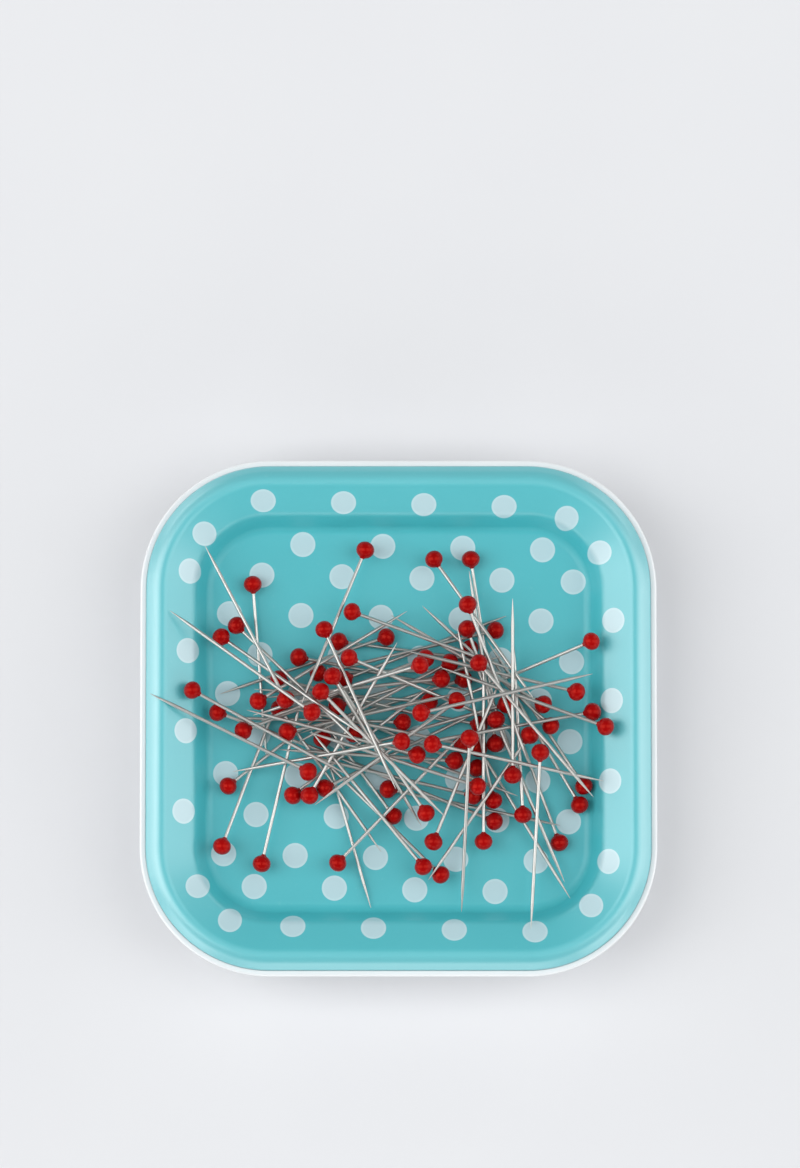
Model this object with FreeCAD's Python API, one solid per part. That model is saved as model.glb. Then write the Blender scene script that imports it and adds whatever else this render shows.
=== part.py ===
import FreeCAD, Part
import math
import os

# A magnetic bowl for dressmaking pins. A rounded square dish sits in a white lower shell,
# two disc magnets under its floor hold the pins, and the pins lie in a loose pile.
# Millimetres, +Z up. The origin is the centre of the footprint, on the table.

ALMOST_NOTHING = 1e-7

# ---- the bowl as a whole ----
BOWL_WIDTH = 88.0
BOWL_CORNER_RADIUS = 22.0

# ---- the dish ----
TRAY_WALL = 1.8
DISH_DEPTH = 6.5
RIM_EDGE_RADIUS = 0.8
RIM_EDGE_SLOPE = 42.0
RIM_EDGE_WIDTH = 1.66
RIM_ROLL_RADIUS = 2.7
RIM_CREST_WIDTH = 1.64
RIM_INNER_RADIUS = 2.2
SHOULDER_WIDTH = 5.0
SHOULDER_SLOPE = 27.0
KNEE_RADIUS = 2.4
WALL_SLOPE = 62.0
FOOT_FILLET = 2.0

# ---- the lower shell ----
SHELL_WALL = 1.8
LIP_WIDTH = 0.94
LIP_TOP_DROP = 2.2
LEDGE_DROP = 1.1
LIP_ROUNDING = 0.35
TRAY_TO_LIP_GAP = 0.06
SHELL_STRAIGHT_SIDE = 5.1
SHELL_TUCK_IN = 6.5
SHELL_SIDE_RADIUS = 14.0
SHELL_BOTTOM_RADIUS = 10.0

# ---- the magnets, their rings under the dish and their pads ----
MAGNET_DIAMETER = 24.0
MAGNET_THICKNESS = 5.0
MAGNET_SPACING = 31.0
MAGNET_GAP = 0.2
MAGNET_RING_WALL = 1.4
MAGNET_RING_DEPTH = 3.4
MAGNET_PAD_DIAMETER = 20.0
MAGNET_PAD_THICKNESS = 1.4

# ---- the screws, their bosses and the feet over them ----
FOOT_SPACING = 48.0
FOOT_DIAMETER = 12.0
FOOT_THICKNESS = 1.6
FOOT_RECESS = 0.6
FOOT_GAP = 0.15
FOOT_BEVEL = 0.3
SCREW_DIAMETER = 2.9
SCREW_LENGTH = 6.0
SCREW_POINT = 1.2
SCREW_HEAD_DIAMETER = 5.4
SCREW_HEAD_THICKNESS = 1.4
SCREW_RECESS_DEPTH = 1.6
SCREW_DRIVE_WIDTH = 2.6
SCREW_DRIVE_SLOT = 0.6
SCREW_DRIVE_DEPTH = 0.8
SCREW_GAP = 0.2
SCREW_PILOT_GAP = 0.05
SCREW_TIP_ROOM = 0.6
BOSS_WALL = 1.9
SHELL_BOSS_HEIGHT = 2.8

# ---- the pins ----
PIN_LENGTH = 30.0
PIN_DIAMETER = 0.6
PIN_POINT_LENGTH = 3.5
PIN_TIP_DIAMETER = 0.06
PIN_HEAD_DIAMETER = 3.2
PIN_REST_GAP = 0.08

# ---- how the pile is laid ----
# Heights over the dish are worked out at this spacing, and a pin is held clear of the dish
# at this many places. Pins start this far above each other. Pairs of pins are looked up
# again after so many rounds, with this much to spare. Each layer drops fast, then slowly,
# by so much a round, while its pins are drawn back by a share of the way to their own
# places in plan. At the end all pins only push each other clear. The pins above the first
# layer lie on other pins, so they stay this much higher over the dish's floor.
PILE_STEP = 0.25
PILE_DISH_PLACES = 15
PILE_DROP = 0.3
PILE_REFRESH = 12
PILE_MARGIN = 1.0
FAST_ROUNDS = 60
FAST_FALL = 0.15
FAST_PULL = 0.1
SLOW_ROUNDS = 24
SLOW_FALL = 0.03
SLOW_PULL = 0.06
CLEARING_ROUNDS = 200
UPPER_FLOOR_LIFT = 1.6

# The pile, from the bottom up. Each pin is the place of its head in plan and the way that
# its point lies, in degrees from +X. The pins of one layer lift out together, with what
# lies on them.
PILE_LAYERS = [
    [(-9.6, 13.9, -7), (-13.4, 7.0, 1), (-8.8, 5.8, 21.5), (12.5, 12.6, -69),
     (11.0, 5.0, -165), (4.9, 3.2, -178), (0.8, 0.3, -172), (13.6, -1.5, 172),
     (-14.2, -2.8, -72.4), (13.6, -5.0, -58.6), (13.5, -8.1, 160), (-2.4, -12.2, -12.9),
     (-0.8, -16.8, 125.3), (31.1, -12.2, 124), (-24.5, 22.6, -83), (-2.5, 14.4, -161.5),
     (-16.6, 8.8, -6), (-30.1, 2.8, -20), (-20.9, 2.0, -53.2), (-28.8, -10.7, 37),
     (-30.3, -21.6, 70.3), (-23.0, -24.9, 75.7), (11.4, 26.7, -79), (16.6, 13.4, -167),
     (27.4, -21.2, 110.3), (31.3, -14.0, 122), (32.8, 13.9, -162.5)],
    [(-10.5, 1.0, 17), (-18.5, -3.1, 15), (8.0, -25.5, 137.5), (18.1, 2.1, -170),
     (16.5, -3.6, 100), (-8.7, 11.0, -25.7), (-19.1, 7.8, -17), (-23.8, 2.8, 32),
     (-26.6, -1.7, 20), (-6.4, -2.0, -23), (-17.9, -11.6, 35), (-13.2, -12.2, 25),
     (10.5, 15.0, -71), (4.6, 10.2, -159.5), (9.0, 8.6, -157.5), (7.4, 5.2, -174.2),
     (10.4, -4.6, 170), (24.8, -2.6, 135), (15.5, -17.6, 160)],
    [(-15.3, -13.1, 60), (23.4, 0.6, 150), (16.8, 0.0, -67), (9.8, -8.0, 178.5),
     (13.8, -13.9, 165), (16.2, -14.3, 100), (5.8, -21.2, 66), (-10.7, -24.4, 44.2),
     (4.5, -25.1, 130.2), (14.5, -21.1, 88), (4.3, 8.3, -163.6), (4.7, -16.3, 126),
     (19.8, -16.7, 94), (-11.6, 6.8, -57)],
    [(9.2, 4.0, -143.7), (3.2, -6.6, 164), (13.8, -11.1, 163), (21.8, -3.0, -123.8),
     (30.2, 4.4, 167), (32.9, 0.8, -171.5), (35.2, -1.9, 160.7), (-8.2, 18.3, -19),
     (5.6, 26.8, -55.5), (-28.0, 15.2, -41.5), (-13.5, 3.7, -45.8), (1.2, -3.9, -168.2),
     (18.6, -9.1, 88), (11.0, 18.8, -64.8)],
]
LOOSE_PINS = [
    (5.4, -5.5, -11.3), (24.7, -5.5, -94.3), (-5.0, 28.5, -113.5), (-30.4, 13.6, -34.4),
    (-12.4, 14.8, -65.7), (14.1, 9.1, -53.5), (-35.0, 4.7, -27.7), (-18.1, 3.4, 119.5),
    (-14.6, 0.4, 144), (3.7, 0.3, 13), (11.9, -3.2, -92.3), (-15.1, -9.0, 154.5),
]

# ---- sizes that follow from those above ----
HALF_WIDTH = BOWL_WIDTH / 2
SHELL_BOTTOM = FOOT_THICKNESS - FOOT_RECESS
SHELL_FLOOR_TOP = SHELL_BOTTOM + SHELL_WALL
MAGNET_BOTTOM = SHELL_FLOOR_TOP + MAGNET_PAD_THICKNESS
FLOOR_UNDERSIDE = MAGNET_BOTTOM + MAGNET_THICKNESS
FLOOR_TOP = FLOOR_UNDERSIDE + TRAY_WALL
BOWL_HEIGHT = FLOOR_TOP + DISH_DEPTH
LIP_TOP = BOWL_HEIGHT - LIP_TOP_DROP
LEDGE_TOP = LIP_TOP - LEDGE_DROP
TRAY_EDGE_INSET = LIP_WIDTH + TRAY_TO_LIP_GAP
PIN_RADIUS = PIN_DIAMETER / 2
HEAD_RADIUS = PIN_HEAD_DIAMETER / 2
SHAFT_START = math.sqrt(HEAD_RADIUS ** 2 - PIN_RADIUS ** 2)


# ---- outlines in section ----
# A section is a list of points (inset from the bowl's outer edge, height, corner radius).

def corner_cut(radius, before, point, after):
    """The rounding of a corner: where it leaves each run, its middle and its centre."""
    to_before = (before[0] - point[0], before[1] - point[1])
    to_after = (after[0] - point[0], after[1] - point[1])
    length_before = math.hypot(*to_before)
    length_after = math.hypot(*to_after)
    u = (to_before[0] / length_before, to_before[1] / length_before)
    v = (to_after[0] / length_after, to_after[1] / length_after)
    half_angle = math.acos(max(-1.0, min(1.0, u[0] * v[0] + u[1] * v[1]))) / 2
    reach = radius / math.tan(half_angle)
    middle_way = math.hypot(u[0] + v[0], u[1] + v[1])
    w = ((u[0] + v[0]) / middle_way, (u[1] + v[1]) / middle_way)
    depth = radius / math.sin(half_angle)
    centre = (point[0] + w[0] * depth, point[1] + w[1] * depth)
    start = (point[0] + u[0] * reach, point[1] + u[1] * reach)
    end = (point[0] + v[0] * reach, point[1] + v[1] * reach)
    middle = (centre[0] - w[0] * radius, centre[1] - w[1] * radius)
    return start, middle, end


def offset_section(points, distance):
    """The same section moved to its right-hand side, so that a wall has one thickness."""
    def shifted(a, b):
        length = math.hypot(b[0] - a[0], b[1] - a[1])
        nx = (b[1] - a[1]) / length * distance
        ny = -(b[0] - a[0]) / length * distance
        return (a[0] + nx, a[1] + ny), (b[0] + nx, b[1] + ny)

    runs = [shifted(a, b) for a, b in zip(points, points[1:])]
    moved = [(*runs[0][0], 0)]
    for before, after, point, previous, following in zip(
            runs, runs[1:], points[1:], points, points[2:]):
        (x1, y1), (x2, y2) = before
        (x3, y3), (x4, y4) = after
        cross = (x2 - x1) * (y4 - y3) - (y2 - y1) * (x4 - x3)
        along = ((x3 - x1) * (y4 - y3) - (y3 - y1) * (x4 - x3)) / cross
        turns_right = cross < 0
        radius = point[2] - distance if turns_right else point[2] + distance
        moved.append((x1 + along * (x2 - x1), y1 + along * (y2 - y1), max(radius, 0)))
    moved.append((*runs[-1][1], 0))
    return moved


def section_face(points):
    """A closed face in the XZ plane, with the bowl's outer edge at x = HALF_WIDTH."""
    def place(point):
        return FreeCAD.Vector(HALF_WIDTH - point[0], 0, point[1])

    edges = []
    count = len(points)
    cuts = []
    for index, point in enumerate(points):
        before = points[index - 1]
        after = points[(index + 1) % count]
        if point[2] > 0:
            cuts.append(corner_cut(point[2], before, point, after))
        else:
            cuts.append((point, None, point))
    for index, (start, middle, end) in enumerate(cuts):
        if middle:
            edges.append(Part.Arc(place(start), place(middle), place(end)).toShape())
        following = cuts[(index + 1) % count][0]
        if (place(end) - place(following)).Length > ALMOST_NOTHING:
            edges.append(Part.makeLine(place(end), place(following)))
    return Part.Face(Part.Wire(edges))


def rounded_square(inset, bottom, height):
    """A plate with the bowl's outline, drawn in by the inset."""
    half = HALF_WIDTH - inset
    radius = BOWL_CORNER_RADIUS - inset
    straight = half - radius
    edges = []
    for quarter in range(4):
        turn = FreeCAD.Rotation(FreeCAD.Vector(0, 0, 1), quarter * 90)
        diagonal = straight + radius * math.sqrt(0.5)
        ends = [turn.multVec(FreeCAD.Vector(*xy, bottom)) for xy in
                ((half, -straight), (half, straight), (diagonal, diagonal), (straight, half))]
        edges.append(Part.makeLine(ends[0], ends[1]))
        edges.append(Part.Arc(ends[1], ends[2], ends[3]).toShape())
    face = Part.Face(Part.Wire(edges))
    return face.extrude(FreeCAD.Vector(0, 0, height))


def wall_ring(points):
    """The section carried once round the bowl's outline."""
    face = section_face(points)
    straight = HALF_WIDTH - BOWL_CORNER_RADIUS
    side_face = face.translated(FreeCAD.Vector(0, -straight, 0))
    side = side_face.extrude(FreeCAD.Vector(0, 2 * straight, 0))
    corner_face = face.translated(FreeCAD.Vector(0, straight, 0))
    corner = corner_face.revolve(FreeCAD.Vector(straight, straight, 0),
                                 FreeCAD.Vector(0, 0, 1), 90)
    pieces = []
    for quarter in range(4):
        for piece in (side, corner):
            pieces.append(piece.rotated(FreeCAD.Vector(0, 0, 0), FreeCAD.Vector(0, 0, 1),
                                        quarter * 90))
    return pieces


def disc(diameter, bottom, height, x=0.0, y=0.0):
    return Part.makeCylinder(diameter / 2, height, FreeCAD.Vector(x, y, bottom))


def tube(inner, outer, bottom, height, x=0.0, y=0.0):
    return disc(outer, bottom, height, x, y).cut(disc(inner, bottom, height, x, y))


def foot_places():
    half = FOOT_SPACING / 2
    return [(-half, -half), (half, -half), (half, half), (-half, half)]


def magnet_places():
    return [(-MAGNET_SPACING / 2, 0.0), (MAGNET_SPACING / 2, 0.0)]


# ---- the dish ----

def dish_section():
    """The dish's upper face, from its outer edge over the rim to its floor."""
    slope = math.radians(SHOULDER_SLOPE)
    steep = math.radians(WALL_SLOPE)
    rim_start = TRAY_EDGE_INSET + RIM_EDGE_WIDTH
    edge_drop = RIM_EDGE_WIDTH * math.tan(math.radians(RIM_EDGE_SLOPE))
    crest_end = rim_start + RIM_CREST_WIDTH
    knee = (crest_end + SHOULDER_WIDTH,
            BOWL_HEIGHT - SHOULDER_WIDTH * math.tan(slope))
    foot = knee[0] + (knee[1] - FLOOR_TOP) / math.tan(steep)
    floor_start = foot + FOOT_FILLET * math.tan(steep / 2) + TRAY_WALL
    return [(TRAY_EDGE_INSET, LEDGE_TOP, 0),
            (TRAY_EDGE_INSET, BOWL_HEIGHT - edge_drop, RIM_EDGE_RADIUS),
            (rim_start, BOWL_HEIGHT, RIM_ROLL_RADIUS),
            (crest_end, BOWL_HEIGHT, RIM_INNER_RADIUS),
            (knee[0], knee[1], KNEE_RADIUS),
            (foot, FLOOR_TOP, FOOT_FILLET),
            (floor_start, FLOOR_TOP, 0)]


def tray():
    top = dish_section()
    underside = offset_section(top, TRAY_WALL)
    # the rolled edge ends flat on the shell's ledge, and the plate ends upright
    underside[0] = (underside[0][0], LEDGE_TOP, 0)
    underside[-1] = (top[-1][0], FLOOR_UNDERSIDE, 0)
    solid = rounded_square(top[-1][0], FLOOR_UNDERSIDE, TRAY_WALL)
    pieces = wall_ring(top + underside[::-1])
    ring_inner = MAGNET_DIAMETER + 2 * MAGNET_GAP
    ring_outer = ring_inner + 2 * MAGNET_RING_WALL
    ring_bottom = FLOOR_UNDERSIDE - MAGNET_RING_DEPTH
    for x, y in magnet_places():
        pieces.append(tube(ring_inner, ring_outer, ring_bottom, MAGNET_RING_DEPTH, x, y))
    boss_bottom = SHELL_FLOOR_TOP + SHELL_BOSS_HEIGHT
    pilot_top = screw_seat() + SCREW_LENGTH + SCREW_TIP_ROOM
    for x, y in foot_places():
        boss = disc(boss_diameter(), boss_bottom, FLOOR_UNDERSIDE - boss_bottom, x, y)
        pilot = disc(SCREW_DIAMETER + 2 * SCREW_PILOT_GAP, boss_bottom,
                     pilot_top - boss_bottom, x, y)
        pieces.append(boss.cut(pilot))
    return solid.multiFuse(pieces).removeSplitter()


# ---- the lower shell ----

def shell_section():
    """The shell's outer face, from the lip down to its floor."""
    turn = SHELL_BOTTOM_RADIUS
    return [(0.0, LIP_TOP, LIP_ROUNDING),
            (0.0, LIP_TOP - SHELL_STRAIGHT_SIDE, SHELL_SIDE_RADIUS),
            (SHELL_TUCK_IN, SHELL_BOTTOM, turn),
            (SHELL_TUCK_IN + turn, SHELL_BOTTOM, 0)]


def screw_seat():
    """The height at which a screw's head bears on the shell's boss."""
    return SHELL_BOTTOM + FOOT_RECESS + SCREW_RECESS_DEPTH


def boss_diameter():
    return SCREW_DIAMETER + 2 * BOSS_WALL


def base_shell():
    outer = shell_section()
    inner = offset_section(outer, -SHELL_WALL)
    # the lip's inner edge is left sharp, so that no groove shows beside the dish
    lip = [(LIP_WIDTH, LIP_TOP, 0), (LIP_WIDTH, LEDGE_TOP, 0),
           (SHELL_WALL, LEDGE_TOP, 0)]
    inner[-1] = (outer[-1][0], SHELL_FLOOR_TOP, 0)
    pieces = wall_ring(outer + inner[:0:-1] + lip[::-1])
    solid = rounded_square(outer[-1][0], SHELL_BOTTOM, SHELL_WALL)
    boss_top = SHELL_FLOOR_TOP + SHELL_BOSS_HEIGHT
    recess = SCREW_HEAD_DIAMETER + 2 * SCREW_GAP
    for x, y in foot_places():
        pieces.append(disc(recess + 2 * BOSS_WALL, SHELL_BOTTOM,
                           boss_top - SHELL_BOTTOM, x, y))
    solid = solid.multiFuse(pieces)
    for x, y in foot_places():
        foot_pocket = disc(FOOT_DIAMETER + 2 * FOOT_GAP, SHELL_BOTTOM, FOOT_RECESS, x, y)
        head_pocket = disc(recess, SHELL_BOTTOM, screw_seat() - SHELL_BOTTOM, x, y)
        hole = disc(SCREW_DIAMETER + 2 * SCREW_GAP, SHELL_BOTTOM,
                    boss_top - SHELL_BOTTOM, x, y)
        solid = solid.cut(foot_pocket.multiFuse([head_pocket, hole]))
    return solid.removeSplitter()


# ---- what is held inside and beneath ----

def magnet(place):
    return disc(MAGNET_DIAMETER, MAGNET_BOTTOM, MAGNET_THICKNESS, *place)


def magnet_pads():
    return Part.Compound([disc(MAGNET_PAD_DIAMETER, SHELL_FLOOR_TOP, MAGNET_PAD_THICKNESS,
                               *place) for place in magnet_places()])


def screw(x, y):
    """A self-tapping screw, head down, with a cross recess and a blunt point."""
    seat = screw_seat()
    head_bottom = seat - SCREW_HEAD_THICKNESS
    head = disc(SCREW_HEAD_DIAMETER, head_bottom, SCREW_HEAD_THICKNESS, x, y)
    shank = disc(SCREW_DIAMETER, seat, SCREW_LENGTH - SCREW_POINT, x, y)
    point = Part.makeCone(SCREW_DIAMETER / 2, SCREW_DIAMETER / 4, SCREW_POINT,
                          FreeCAD.Vector(x, y, seat + SCREW_LENGTH - SCREW_POINT))
    solid = head.multiFuse([shank, point])
    long_side = SCREW_DRIVE_WIDTH
    short_side = SCREW_DRIVE_SLOT
    for width, depth in ((long_side, short_side), (short_side, long_side)):
        corner = FreeCAD.Vector(x - width / 2, y - depth / 2, head_bottom)
        solid = solid.cut(Part.makeBox(width, depth, SCREW_DRIVE_DEPTH, corner))
    return solid.removeSplitter()


def foot(x, y):
    """An anti-slip foot with a small bevel where it meets the table."""
    radius = FOOT_DIAMETER / 2
    bevel = Part.makeCone(radius - FOOT_BEVEL, radius, FOOT_BEVEL, FreeCAD.Vector(x, y, 0))
    body = disc(FOOT_DIAMETER, FOOT_BEVEL, FOOT_THICKNESS - FOOT_BEVEL, x, y)
    return bevel.fuse(body).removeSplitter()


# ---- the pile: where each pin comes to rest ----

def section_heights(points, step):
    """Points along a rounded section, close enough together to lay a ball on."""
    trail = []
    for index, point in enumerate(points):
        if 0 < index < len(points) - 1 and point[2] > 0:
            start, middle, end = corner_cut(point[2], points[index - 1], point,
                                            points[index + 1])
            trail.extend(arc_points(start, middle, end, step))
        else:
            trail.append(point[:2])
    dense = []
    for (x1, z1), (x2, z2) in zip(trail, trail[1:]):
        count = max(1, int(math.hypot(x2 - x1, z2 - z1) / step))
        dense.extend((x1 + (x2 - x1) * k / count, z1 + (z2 - z1) * k / count)
                     for k in range(count))
    return dense


def arc_points(start, middle, end, step):
    """Points on the arc through three points."""
    ax, ay = start
    bx, by = middle
    cx, cy = end
    d = 2 * (ax * (by - cy) + bx * (cy - ay) + cx * (ay - by))
    a2, b2, c2 = ax * ax + ay * ay, bx * bx + by * by, cx * cx + cy * cy
    ux = (a2 * (by - cy) + b2 * (cy - ay) + c2 * (ay - by)) / d
    uy = (a2 * (cx - bx) + b2 * (ax - cx) + c2 * (bx - ax)) / d
    radius = math.hypot(ax - ux, ay - uy)
    first = math.atan2(ay - uy, ax - ux)
    sweep = math.atan2(cy - uy, cx - ux) - first
    sweep = (sweep + math.pi) % (2 * math.pi) - math.pi
    count = max(2, int(abs(sweep) * radius / step))
    return [(ux + radius * math.cos(first + sweep * k / count),
             uy + radius * math.sin(first + sweep * k / count)) for k in range(count + 1)]


class DishFloor:
    """How high the centre of a ball lies when it rests on the dish at a given inset."""

    def __init__(self, ball_radius, lift):
        self.step = PILE_STEP / 2
        self.heights = []
        section = section_heights(dish_section(), self.step / 2)
        end = section[-1][0]
        self.level = FLOOR_TOP + lift + ball_radius
        for index in range(int((end + ball_radius) / self.step) + 2):
            inset = index * self.step
            best = self.level
            for x, z in section:
                reach = x - inset
                if abs(reach) < ball_radius:
                    best = max(best, z + math.sqrt(ball_radius ** 2 - reach ** 2))
            self.heights.append(best)

    def under(self, x, y):
        inset = inset_at(x, y) / self.step
        index = int(inset)
        if index < 0:
            return self.heights[0]
        if index + 1 >= len(self.heights):
            return self.level
        share = inset - index
        return self.heights[index] * (1 - share) + self.heights[index + 1] * share


def inset_at(x, y):
    """How far a place in plan lies inside the bowl's outer edge."""
    corner = HALF_WIDTH - BOWL_CORNER_RADIUS
    out_x = abs(x) - corner
    out_y = abs(y) - corner
    if out_x > 0 and out_y > 0:
        return BOWL_CORNER_RADIUS - math.hypot(out_x, out_y)
    return HALF_WIDTH - max(abs(x), abs(y))


class Pin:
    """A pin in the pile: the places of its head's centre and of its tip."""

    def __init__(self, x, y, heading, layer):
        self.head = [x, y, 0.0]
        self.tip = [x + PIN_LENGTH * math.cos(math.radians(heading)),
                    y + PIN_LENGTH * math.sin(math.radians(heading)), 0.0]
        self.layer = layer
        self.drawn_head = tuple(self.head[:2])
        self.drawn_tip = tuple(self.tip[:2])

    def point(self, length):
        share = length / PIN_LENGTH
        return FreeCAD.Vector(*(h + share * (t - h) for h, t in zip(self.head, self.tip)))

    def direction(self):
        return (self.point(PIN_LENGTH) - self.point(0)).normalize()

    def shift(self, share, x, y, z):
        """Move one place of the pin, and its ends in proportion."""
        near = 1 - share
        scale = 1 / (near * near + share * share)
        near *= scale
        far = share * scale
        self.head[0] += near * x
        self.head[1] += near * y
        self.head[2] += near * z
        self.tip[0] += far * x
        self.tip[1] += far * y
        self.tip[2] += far * z

    def keep_length(self):
        """Bring the two ends back to the pin's own length."""
        dx, dy, dz = (t - h for h, t in zip(self.head, self.tip))
        half = (1 - PIN_LENGTH / math.sqrt(dx * dx + dy * dy + dz * dz)) / 2
        for axis, reach in enumerate((dx, dy, dz)):
            self.head[axis] += reach * half
            self.tip[axis] -= reach * half

    def draw_back(self, pull):
        """Ease the pin back towards its own place in plan."""
        for axis in (0, 1):
            self.head[axis] += (self.drawn_head[axis] - self.head[axis]) * pull
            self.tip[axis] += (self.drawn_tip[axis] - self.tip[axis]) * pull


def nearest_shares(pin, other):
    """The shares of two axes at which they come closest to each other."""
    ax, ay, az = pin.head
    bx, by, bz = other.head
    ux, uy, uz = pin.tip[0] - ax, pin.tip[1] - ay, pin.tip[2] - az
    vx, vy, vz = other.tip[0] - bx, other.tip[1] - by, other.tip[2] - bz
    wx, wy, wz = ax - bx, ay - by, az - bz
    a = ux * ux + uy * uy + uz * uz
    b = ux * vx + uy * vy + uz * vz
    e = vx * vx + vy * vy + vz * vz
    c = ux * wx + uy * wy + uz * wz
    f = vx * wx + vy * wy + vz * wz
    free = a * e - b * b
    s = (b * f - c * e) / free if free > ALMOST_NOTHING else 0.5
    s = min(max(s, 0.0), 1.0)
    t = (b * s + f) / e
    if not 0 <= t <= 1:
        t = min(max(t, 0.0), 1.0)
        s = min(max((b * t - c) / a, 0.0), 1.0)
    return s, t


def share_near(pin, place):
    """The share of a pin's axis that lies nearest to a place."""
    along = 0.0
    length = 0.0
    for h, t, p in zip(pin.head, pin.tip, place):
        along += (p - h) * (t - h)
        length += (t - h) * (t - h)
    return min(max(along / length, 0.0), 1.0)


def part_pins(pin, pin_share, other, other_share, reach):
    """Push two pins apart, if they come closer than the reach at these places."""
    ax, ay, az = pin.head
    bx, by, bz = other.head
    x = ax + pin_share * (pin.tip[0] - ax) - bx - other_share * (other.tip[0] - bx)
    y = ay + pin_share * (pin.tip[1] - ay) - by - other_share * (other.tip[1] - by)
    z = az + pin_share * (pin.tip[2] - az) - bz - other_share * (other.tip[2] - bz)
    order = pin.layer - other.layer
    apart = math.sqrt(x * x + y * y + z * z)
    if z * order < 0:
        # the pin of the later layer has to come out first, so it never lies beneath
        if 0 < pin_share < 1 and 0 < other_share < 1:
            apart = -abs(z)
            x = y = 0.0
        else:
            apart = math.hypot(x, y)
            z = 0.0
    if apart >= reach or abs(apart) < ALMOST_NOTHING:
        return
    scale = (reach - apart) / apart / 2
    pin.shift(pin_share, x * scale, y * scale, z * scale)
    other.shift(other_share, -x * scale, -y * scale, -z * scale)


def part_pair(pin, other):
    """Clear two pins of each other: head from head, head from shaft, shaft from shaft."""
    both_heads = 2 * HEAD_RADIUS + PIN_REST_GAP
    head_and_shaft = HEAD_RADIUS + PIN_RADIUS + PIN_REST_GAP
    both_shafts = 2 * PIN_RADIUS + PIN_REST_GAP
    part_pins(pin, 0.0, other, 0.0, both_heads)
    part_pins(pin, 0.0, other, share_near(other, pin.head), head_and_shaft)
    part_pins(pin, share_near(pin, other.head), other, 0.0, head_and_shaft)
    pin_share, other_share = nearest_shares(pin, other)
    part_pins(pin, pin_share, other, other_share, both_shafts)


def near_pairs(pins):
    """The pairs of pins that lie close enough to touch within the next few rounds."""
    reach = PIN_HEAD_DIAMETER + PILE_MARGIN
    pairs = []
    for index, pin in enumerate(pins):
        for other in pins[:index]:
            s, t = nearest_shares(pin, other)
            apart = 0.0
            for h1, t1, h2, t2 in zip(pin.head, pin.tip, other.head, other.tip):
                apart += (h1 + s * (t1 - h1) - h2 - t * (t2 - h2)) ** 2
            if apart < reach * reach:
                pairs.append((pin, other))
    return pairs


def lift_off_dish(pin, head_floor, shaft_floor):
    """Raise a pin where it has sunk into the dish."""
    x, y, z = pin.head
    lack = head_floor.under(x, y) - z
    if lack > 0:
        pin.head[2] += lack
    count = PILE_DISH_PLACES
    for index in range(count, 0, -1):
        share = index / count
        x, y, z = (h + share * (t - h) for h, t in zip(pin.head, pin.tip))
        lack = shaft_floor.under(x, y) - z
        if lack > 0:
            pin.shift(share, 0.0, 0.0, lack)


def settle(pins, floors, rounds, fall, pull):
    """Let the pins sink by steps, while they push each other aside."""
    for number in range(rounds):
        if number % PILE_REFRESH == 0:
            pairs = near_pairs(pins)
        for pin in pins:
            pin.head[2] -= fall
            pin.tip[2] -= fall
            pin.draw_back(pull)
        for pin, other in pairs:
            part_pair(pin, other)
        for pin in pins:
            pin.keep_length()
            lift_off_dish(pin, *floors[pin.layer > 0])


def lay_pile():
    """Every pin at rest: the layers from the bottom up, then the pins that lie loose."""
    floors = [[DishFloor(radius + PIN_REST_GAP, lift) for radius in (HEAD_RADIUS, PIN_RADIUS)]
              for lift in (0.0, UPPER_FLOOR_LIFT)]
    layers = []
    pins = []
    for number, entries in enumerate(PILE_LAYERS + [LOOSE_PINS]):
        layer = [Pin(*entry, number) for entry in entries]
        top = max([FLOOR_TOP] + [max(pin.head[2], pin.tip[2]) for pin in pins])
        for index, pin in enumerate(layer):
            height = top + PILE_DROP * index
            pin.head[2] = height + HEAD_RADIUS
            pin.tip[2] = height + PIN_RADIUS
        layers.append(layer)
        pins += layer
        settle(pins, floors, FAST_ROUNDS, FAST_FALL, FAST_PULL)
        settle(pins, floors, SLOW_ROUNDS, SLOW_FALL, SLOW_PULL)
    settle(pins, floors, CLEARING_ROUNDS, 0.0, 0.0)
    return layers[:-1], layers[-1]


# ---- the pins as solids ----

def pin_head(pin):
    """A glass ball with a small flat where the shaft enters it."""
    flat = math.degrees(math.acos(PIN_RADIUS / HEAD_RADIUS))
    return Part.makeSphere(HEAD_RADIUS, pin.point(0), pin.direction(), -90, flat, 360)


def pin_shaft(pin):
    """A steel wire with a long point, from the head's flat to its tip."""
    outline = [(0, SHAFT_START), (PIN_RADIUS, SHAFT_START),
               (PIN_RADIUS, PIN_LENGTH - PIN_POINT_LENGTH),
               (PIN_TIP_DIAMETER / 2, PIN_LENGTH), (0, PIN_LENGTH)]
    corners = [FreeCAD.Vector(x, 0, z) for x, z in outline + outline[:1]]
    axis = FreeCAD.Vector(0, 0, 1)
    shaft = Part.Face(Part.makePolygon(corners)).revolve(FreeCAD.Vector(), axis, 360)
    shaft.Placement = FreeCAD.Placement(pin.point(0),
                                        FreeCAD.Rotation(axis, pin.direction()))
    return shaft


# ---- the files ----

def write(name, shape):
    shape.exportStep("parts/" + name + ".step")


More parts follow.
